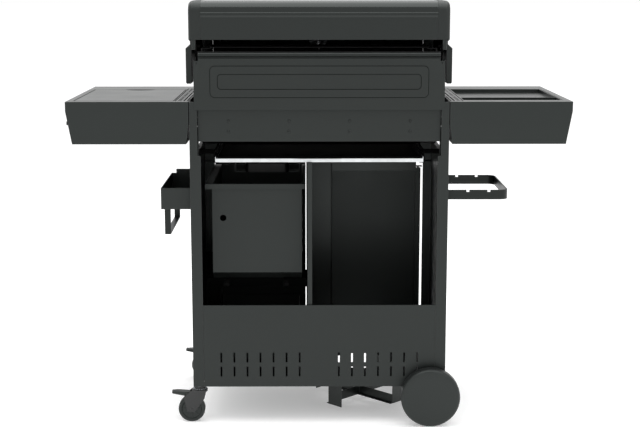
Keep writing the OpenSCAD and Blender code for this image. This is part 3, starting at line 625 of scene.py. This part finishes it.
def makeKnob(name, node, panelNode):
    low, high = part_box(node)
    x = (low.x + high.x) / 2
    z = (low.z + high.z) / 2
    base = high.y
    f, g, h = knob["flange"], knob["grip"], knob["height"]
    bm = bmesh.new()
    top = -knob["flangeHeight"]
    lathe(bm, [(0, 0), (f - 1 * mm, 0), (f, -1 * mm), (f, top + 2.5 * mm), (f - 1.5 * mm, top + 0.4 * mm),
               (g + 0.8 * mm, top), (g, top - 1 * mm), (g - 0.8 * mm, -h + 2 * mm), (g - 2.6 * mm, -h),
               (0, -h)], (x, base, z), "y", 72)
    bar = knob["barHalf"]
    block(bm, (x - bar, x + bar), (base - knob["bar"], base + top), (z - f + 3 * mm, z + f - 3 * mm), 1 * mm)
    make(name, bm, node, [node])
    flute = bmesh.new()
    rod(flute, "y", (g - 0.6 * mm, -h + 3 * mm, 0), knob["flute"], h - 12 * mm, 8)
    repeat(name + "Flutes", ringTree, flute, node, ring(knob["flutes"], (0, 1, 0), (x, base, z)))
    trim = bmesh.new()
    outer = arcPoints(x, z, f + 0.9 * mm, 0, 354, 59)
    inner = arcPoints(x, z, f - 0.3 * mm, 0, 354, 59)
    band(trim, outer, inner, base - 3.6 * mm, base - 0.6 * mm, "y", True)
    make(name + "Ring", trim, node, material=finishes["bezel"])
    pointer = bmesh.new()
    crest = base - knob["bar"]
    block(pointer, (x - 0.7 * mm, x + 0.7 * mm), (crest - 0.3 * mm, crest + 0.5 * mm),
          (z + 4 * mm, z + f - 5 * mm), 0.2 * mm)
    make(name + "Pointer", pointer, node, material=finishes["panelInk"])
    tick = bmesh.new()
    block(tick, (-0.5 * mm, 0.5 * mm), (-0.15 * mm, 0.15 * mm), (26.5 * mm, 30 * mm))
    repeat(name + "Scale", ringTree, tick, panelNode,
           ring(knob["ticks"], (0, 1, 0), (x, base + knob["scaleBack"], z), knob["sweep"]),
           finishes["panelInk"])


for number in (1, 2, 3, 4):
    makeKnob(f"burnerKnob{number}", f"knob_{number}", "control_panel")
makeKnob("sideBurnerKnob", "side_burner_knob", "right_shelf")

buttonLow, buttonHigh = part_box("igniter_button")
button = bmesh.new()
lathe(button, [(0, -1.2 * mm), (5 * mm, -0.7 * mm), (8 * mm, 0.4 * mm), (9 * mm, 2 * mm), (9 * mm, 19 * mm),
               (8.4 * mm, 20 * mm), (0, 20 * mm)],
      (0, buttonLow.y, (buttonLow.z + buttonHigh.z) / 2), "y", 48)
make("igniterButton", button, "igniter_button", ["igniter_button"])
print("knobs made")


# big wheels: a plain outer disc, a stepped inner face and a ribbed tyre

wheel = dict(tyre=82.5 * mm, half=17.5 * mm, face=79 * mm, step=70 * mm, hub=19 * mm, ribs=96)


def makeWheel(name, node, outward):
    low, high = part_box(node)
    centre = (low + high) / 2
    r, w, f, s, h = (wheel[key] for key in ("tyre", "half", "face", "step", "hub"))
    inner = [(0, w - 2 * mm), (h - 4 * mm, w - 2 * mm), (h - 1.5 * mm, w - 2.8 * mm), (h, w - 4.5 * mm),
             (h + 1 * mm, w - 4.5 * mm), (h + 3 * mm, w - 1.8 * mm), (s - 2 * mm, w - 1.4 * mm),
             (s, w - 2.6 * mm), (s + 2 * mm, w - 0.4 * mm), (f - 1 * mm, w), (f + 1 * mm, w - 1 * mm),
             (r - 1 * mm, w - 3.4 * mm), (r - 0.5 * mm, w - 6 * mm)]
    # the outer face is one shallow disc that hides the end of the axle
    disc = [(0, w + 4.6 * mm), (f - 22 * mm, w + 4.4 * mm), (f - 6 * mm, w + 3 * mm),
            (f - 1.5 * mm, w + 0.9 * mm), (f, w - 0.6 * mm), (f + 0.8 * mm, w - 1.4 * mm),
            (r - 1 * mm, w - 3.4 * mm), (r - 0.5 * mm, w - 6 * mm)]
    profile = disc + [(radius, -along) for radius, along in reversed(inner)]
    bm = bmesh.new()
    lathe(bm, [(radius, along * outward) for radius, along in profile], centre, "y", 128)
    make(name, bm, node, [node])
    rib = bmesh.new()
    block(rib, (r - 1.2 * mm, r), (-w + 5 * mm, w - 5 * mm), (-1.1 * mm, 1.1 * mm), 0.4 * mm)
    repeat(name + "Tread", ringTree, rib, node, ring(wheel["ribs"], (0, 1, 0), centre))


makeWheel("bigWheelRear", "big_wheel_rear", 1)
makeWheel("bigWheelFront", "big_wheel_front", -1)


# casters: a grooved tyre, a dished hub, a ball race above the fork and a ridged pedal

caster = dict(radius=37.5 * mm, half=11 * mm, hub=10 * mm, hubHalf=13.5 * mm, webs=8, ridges=5,
              ridge=3.4 * mm, balls=16, trail=23 * mm, raceRadius=17 * mm, raceHeight=96 * mm)


def makeCaster(end):
    node = "caster_wheel_" + end
    low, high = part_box(node)
    centre = (low + high) / 2
    r, w, h, hw = (caster[key] for key in ("radius", "half", "hub", "hubHalf"))
    side = [(0, hw), (h - 1 * mm, hw), (h, hw - 1 * mm), (h, 8.2 * mm), (h + 2 * mm, 7.6 * mm),
            (25 * mm, 7.6 * mm), (27.5 * mm, 9 * mm), (28.5 * mm, w), (r - 4 * mm, w),
            (r - 1.4 * mm, w - 1.4 * mm), (r, w - 4 * mm), (r, 2.2 * mm), (r - 0.9 * mm, 1.4 * mm)]
    profile = side + [(radius, -along) for radius, along in reversed(side)]
    bm = bmesh.new()
    lathe(bm, profile, centre, "y", 80)
    name = "casterWheel" + end.capitalize()
    make(name, bm, node, [node])
    web = bmesh.new()
    block(web, (h, 26 * mm), (-8.6 * mm, 8.6 * mm), (-0.9 * mm, 0.9 * mm), 0.3 * mm)
    repeat(name + "Webs", ringTree, web, node, ring(caster["webs"], (0, 1, 0), centre))
    fork = "caster_fork_" + end
    y = centre.y
    stem = (centre.x - caster["trail"], y, caster["raceHeight"])
    ball = bmesh.new()
    bmesh.ops.create_uvsphere(ball, u_segments=12, v_segments=8, radius=2 * mm)
    bmesh.ops.translate(ball, verts=ball.verts, vec=(caster["raceRadius"], 0, 0))
    repeat("ballRace" + end.capitalize(), ringTree, ball, fork, ring(caster["balls"], (0, 0, 1), stem),
           finishes["zinc_steel"])
    lever = "brake_lever_" + end
    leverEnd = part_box(lever)[1]
    ridge = bmesh.new()
    rod(ridge, "y", (0, -9 * mm, 0), 0.8 * mm, 18 * mm, 8)
    repeat("pedalRidges" + end.capitalize(), rowTree, ridge, lever,
           rows(caster["ridges"], (caster["ridge"], 0, -0.18 * mm),
                (leverEnd.x - 17 * mm, y, leverEnd.z + 0.1 * mm)))


makeCaster("rear")
makeCaster("front")
print("wheels made")


# screws, slots, bars, wires and ports, all from the two trees

screw = dict(head=4.2 * mm, cadHead=3.6 * mm, cadHeight=1.8 * mm, columns=4, rows=2)
screwLow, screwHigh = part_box("cover_screws")
screwHead = bmesh.new()
lathe(screwHead, [(0, 0.7 * mm), (1.3 * mm, 0.7 * mm), (1.4 * mm, 2.1 * mm), (2.6 * mm, 2 * mm),
                  (3.7 * mm, 1.2 * mm), (screw["head"], 0), (screw["head"] * 0.4, -3 * mm), (0, -3 * mm)],
      (0, 0, 0), "y", 24)
screwStep = (screwHigh.x - screwLow.x - 2 * screw["cadHead"]) / (screw["columns"] - 1)
screwLift = screwHigh.z - screwLow.z - 2 * screw["cadHead"]
screwSpot = (screwLow.x + screw["cadHead"], screwHigh.y - screw["cadHeight"], screwLow.z + screw["cadHead"])
repeat("coverScrews", rowTree, screwHead, "cover_screws",
       rows(screw["columns"], (screwStep, 0, 0), screwSpot, screw["rows"], (0, 0, screwLift)),
       replaced=["cover_screws"])

slots = dict(width=5 * mm, height=28 * mm, lip=0.9 * mm, proud=0.5 * mm, pitch=36.4 * mm, perRow=7,
             low=149.7 * mm, rise=40.3 * mm, right=55 * mm, left=-272.9 * mm, corner=0.6 * mm)
slotSize = (slots["width"], slots["height"], slots["corner"], 4)
for title, start in (("Right", slots["right"]), ("Left", slots["left"])):
    lip = bmesh.new()
    band(lip, roundedFrame(*slotSize, slots["lip"]), roundedFrame(*slotSize, 0), -0.3 * mm,
         slots["proud"], "y", True)
    repeat("slotLips" + title, rowTree, lip, "lower_back_panel",
           rows(slots["perRow"], (slots["pitch"], 0, 0), (start, rearFace, slots["low"]), 2,
                (0, 0, slots["rise"])))

grate = dict(bars=13, width=7 * mm, height=11 * mm, cross=8 * mm, crossHeight=9 * mm, crosses=3,
             middleGap=1.5 * mm)
grateLow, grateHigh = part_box("cooking_grates")
grateBar = bmesh.new()
half = grate["width"] / 2
top = arcPoints(0, grate["height"] - half, half, 0, 180, 8)
prism(grateBar, [(-half * 0.8, 0), (half * 0.8, 0)] + top, grateLow.y, grateHigh.y, "y")
gap = grate["middleGap"]
gratePitch = (grateHigh.x - gap - grate["width"]) / (grate["bars"] - 1)
crossPitch = (grateHigh.y - grateLow.y - grate["cross"]) / (grate["crosses"] - 1)
secondGrate = (-grateHigh.x - gap, 0, 0)
repeat("grateBars", rowTree, grateBar, "cooking_grates",
       rows(grate["bars"], (gratePitch, 0, 0), (gap + half, 0, grateHigh.z - grate["height"]), 2,
            secondGrate), replaced=["cooking_grates"])
grateCross = bmesh.new()
block(grateCross, (0, grateHigh.x - gap), (0, grate["cross"]), (0, grate["crossHeight"]), 0.8 * mm)
repeat("grateCross", rowTree, grateCross, "cooking_grates",
       rows(grate["crosses"], (0, crossPitch, 0), (gap, grateLow.y, grateLow.z), 2, secondGrate))

rack = dict(wires=9, pitch=16 * mm, wire=2 * mm, bar=2.5 * mm, half=298 * mm, rear=-64 * mm, front=-196 * mm,
            barZ=1042.5 * mm, barX=296 * mm, legX=319 * mm, foot=25 * mm)
rackLow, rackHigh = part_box("warming_rack")
wire = bmesh.new()
rod(wire, "x", (-rack["half"], 0, 0), rack["wire"], 2 * rack["half"], 12)
repeat("rackWires", rowTree, wire, "warming_rack",
       rows(rack["wires"], (0, -rack["pitch"], 0),
            (0, rearFace + rack["rear"] - rack["wire"], rackHigh.z - rack["wire"])),
       replaced=["warming_rack"])
rackBars = bmesh.new()
barZ = rack["barZ"]
for x in (-rack["barX"], 0, rack["barX"]):
    rod(rackBars, "y", (x, rearFace + rack["front"], barZ), rack["bar"], rack["rear"] - rack["front"], 14)
for side in (-1, 1):
    for y in (rearFace + rack["rear"], rearFace + rack["front"]):
        footStart = side * (rack["legX"] - rack["foot"] / 2) - rack["foot"] / 2
        rod(rackBars, "x", (footStart, y, barZ), rack["bar"], rack["foot"], 14)
        rod(rackBars, "z", (side * rack["legX"], y, rackLow.z), rack["bar"], barZ - rackLow.z + 2 * mm, 14)
make("rackFrame", rackBars, "warming_rack")

ports = dict(radius=1.2 * mm, count=34, pitch=10 * mm, tube=15 * mm, spacing=150 * mm, burners=4,
             front=-425 * mm, height=855 * mm)
firstBurner = ports["spacing"] * (1 - ports["burners"]) / 2
# the ports as near-black discs on the tubes: painted shade for the dark inside each hole
for title, side in (("Right", 1), ("Left", -1)):
    port = bmesh.new()
    rod(port, "x", (-ports["radius"] / 2, 0, 0), ports["radius"], ports["radius"], 10)
    repeat("burnerPorts" + title, rowTree, port, "burners",
           rows(ports["count"], (0, ports["pitch"], 0),
                (firstBurner + side * ports["tube"], rearFace + ports["front"], ports["height"]),
                ports["burners"], (ports["spacing"], 0, 0)), finishes["enamel"])

sideBurner = dict(centre=(530 * mm, rearFace - 215 * mm, 870 * mm), radius=40 * mm, ports=32)
# the side burner's ports as near-black discs: painted shade for the dark inside each hole
jet = bmesh.new()
rod(jet, "x", (sideBurner["radius"] - 0.4 * mm, 0, 0), 1.3 * mm, 1.0 * mm, 10)
repeat("sideBurnerPorts", ringTree, jet, "side_burner",
       ring(sideBurner["ports"], (0, 0, 1), sideBurner["centre"]), finishes["enamel"])

# the slots stamped into the shelf tops, as dark strips just proud of the sheet: painted shade for the dark
# inside of each slot
louvre = dict(count=4, pitch=11 * mm, first=357 * mm, radius=1.9 * mm, sunk=1.4 * mm, rear=-30 * mm,
              length=120 * mm, runs=3, step=-140 * mm)
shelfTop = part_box("right_shelf")[1].z
for node, side in (("right_shelf", 1), ("left_shelf", -1)):
    bar = bmesh.new()
    rod(bar, "y", (0, rearFace + louvre["rear"] - louvre["length"], 0), louvre["radius"],
        louvre["length"], 12)
    repeat("louvres" + ("Right" if side > 0 else "Left"), rowTree, bar, node,
           rows(louvre["count"], (side * louvre["pitch"], 0, 0),
                (side * louvre["first"], 0, shelfTop - louvre["sunk"]),
                louvre["runs"], (0, louvre["step"], 0)), finishes["creaseShade"])

serration = dict(count=92, pitch=4 * mm, x=-666.5 * mm, front=-413 * mm)
tooth = bmesh.new()
block(tooth, (-0.9 * mm, 0.9 * mm), (0, 2 * mm), (-0.3 * mm, 0.5 * mm), 0.25 * mm)
repeat("rimTeeth", rowTree, tooth, "left_shelf",
       rows(serration["count"], (0, serration["pitch"], 0),
            (serration["x"], rearFace + serration["front"], shelfTop)))
print("rows and rings made")


# every other node keeps its CAD shape and gets rounded folds and corners

edgeRound = {                    # widths in mm
    "leg_rear_left": 0.6, "leg_rear_right": 0.6, "leg_front_left": 0.6, "leg_front_right": 0.6,
    "base_panel": 0.4, "bottle_cradle": 0.5, "lower_back_panel": 0.4, "side_panel_left": 0.4,
    "side_panel_right": 0.4, "partition": 0.4, "front_frame": 0.5, "runners": 0.4, "firebox": 0.5,
    "heat_shield": 0.4, "shield_rail": 0.4, "back_cover": 0.4, "control_panel": 0.6, "gas_manifold": 0.6,
    "burners": 0.4, "heat_tents": 0.4, "hinge_brackets": 0.5, "right_shelf": 0.7, "side_burner": 0.4,
    "side_burner_grate": 1.0, "left_shelf": 0.7, "shelf_tray": 0.5, "tool_caddy": 0.4, "towel_bar": 0.7,
    "tool_rack": 0.7, "cup_holder": 0.4, "wheel_axle": 0.5, "caster_stems": 0.5, "side_burner_cover": 0.6,
    "door": 0.6, "upper_drawer": 0.4, "lower_drawer": 0.4, "drip_tray": 0.4, "grease_cup": 0.3,
    "caster_fork_rear": 0.5, "caster_fork_front": 0.5, "brake_lever_rear": 1.0, "brake_lever_front": 1.0,
}

paintedShadeParts = ("runners", "hinge_brackets")    # these sit in shadow and take a near-black painted shade instead of their slot's look


def camel(node):
    words = node.split("_")
    return words[0] + "".join(word.capitalize() for word in words[1:])


for node, width in edgeRound.items():
    bm = bmesh.new()
    bm.from_mesh(frame["nodes"][node].data)
    bmesh.ops.remove_doubles(bm, verts=bm.verts, dist=0.01 * mm)
    bmesh.ops.dissolve_limit(bm, angle_limit=math.radians(0.5), verts=bm.verts, edges=bm.edges)
    roundEdges(bm, width * mm)
    make(camel(node), bm, node, [node], finishes["paintedShadeBlack"] if node in paintedShadeParts else None)
print("folded parts made:", len(edgeRound))


# creases that the press leaves around the two rings of the rear shield, in near-black as painted shade for
# the shadow in each crease
emboss = dict(z=957.25 * mm, crease=1.1 * mm, proud=0.25 * mm, depth=1.6 * mm,
              rings=((588 * mm, 84.5 * mm, 13 * mm), (548 * mm, 40.5 * mm, 10 * mm)))
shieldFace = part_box("heat_shield")[1].y
creases = bmesh.new()
half = emboss["crease"] / 2
for size in emboss["rings"]:
    outer, inner = (roundedFrame(*size, 10, grow, emboss["z"]) for grow in (half, -half))
    band(creases, outer, inner, shieldFace - emboss["depth"], shieldFace + emboss["proud"], "y", True)
make("shieldCreases", creases, "heat_shield", material=finishes["creaseShade"])


# a near-black sheet in the drip tray, folded over the top of the tray's rear wall: painted shade for the
# tray's shaded inside

shadeSheet = dict(sheet=0.8 * mm, inset=1.6 * mm, fold=4.8 * mm, trayRear=-18 * mm, edge=0.2 * mm, clear=0.05 * mm)
trayLow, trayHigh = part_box("drip_tray")
trayRear = rearFace + shadeSheet["trayRear"]
inset, sheet = shadeSheet["inset"], shadeSheet["sheet"]
left, right = trayLow.x + inset, trayHigh.x - inset
front, rear = trayLow.y + inset, trayRear - inset
floorZ, topZ = trayLow.z + inset, trayHigh.z + sheet
shadeSheetMesh = bmesh.new()
for xs, ys, zs in (
        ((left, right), (front, rear), (floorZ, floorZ + sheet)),
        ((left, left + sheet), (front, rear), (floorZ, topZ)),
        ((right - sheet, right), (front, rear), (floorZ, topZ)),
        ((left, right), (front, front + sheet), (floorZ, topZ)),
        ((left, right), (rear - sheet, rear), (floorZ, topZ)),
        ((left, right), (rear - sheet, trayRear + sheet), (topZ - sheet, topZ)),
        ((left, right), (trayRear + shadeSheet["clear"], trayRear + sheet), (topZ - shadeSheet["fold"] - sheet, topZ))):
    block(shadeSheetMesh, xs, ys, zs, shadeSheet["edge"])
make("trayLiner", shadeSheetMesh, "drip_tray", material=finishes["paintedShadeBlack"])
print("creases and liner made")


# floor, light and camera

studio = dict(floorHalf=60.0, world=1.0, aim=(0, 0, 0.7))
view = dict(spot=(0.0281, 3.8282, 1.2287), tilt=10.04, turn=0.48, lens=74.44, sensor=36, reach=100)
lights = {
    "keyLight": dict(spot=(-3.6, 3.4, 3.2), power=20.0, size=3.0),
    "fillLight": dict(spot=(3.8, -3.0, 3.4), power=28.0, size=3.0),
    "topLight": dict(spot=(0, -0.1, 3.5), power=140.0, size=4.4),
}

floorMesh = bpy.data.meshes.new("floor")
reach = studio["floorHalf"]
floorMesh.from_pydata([(-reach, -reach, 0), (reach, -reach, 0), (reach, reach, 0), (-reach, reach, 0)], [],
                      [(0, 1, 2, 3)])
floorMesh.materials.append(finishes["paleFloor"])
linked("floor", floorMesh)

world = bpy.data.worlds.new("softRoom")
bpy.context.scene.world = world
world.use_nodes = True
sky = Tree(world.node_tree)
sky.add("ShaderNodeOutputWorld", {}, {"Surface": sky.add("ShaderNodeBackground", {}, {
    "Color": (1, 1, 1, 1), "Strength": studio["world"]})})


def softLight(name, spot, power, size):
    lamp = bpy.data.lights.new(name, "AREA")
    lamp.energy = power
    lamp.size = size
    piece = linked(name, lamp)
    piece.location = spot
    piece.rotation_euler = (Vector(studio["aim"]) - Vector(spot)).to_track_quat("-Z", "Y").to_euler()


for name, light in lights.items():
    softLight(name, **light)

lens = bpy.data.cameras.new("camera")
lens.lens = view["lens"]
lens.sensor_width = view["sensor"]
lens.clip_end = view["reach"]
camera = linked("camera", lens)
camera.location = view["spot"]
camera.rotation_euler = (math.radians(90 - view["tilt"]), 0, math.radians(180 - view["turn"]))
bpy.context.scene.camera = camera

bpy.context.scene.view_settings.view_transform = "Standard"
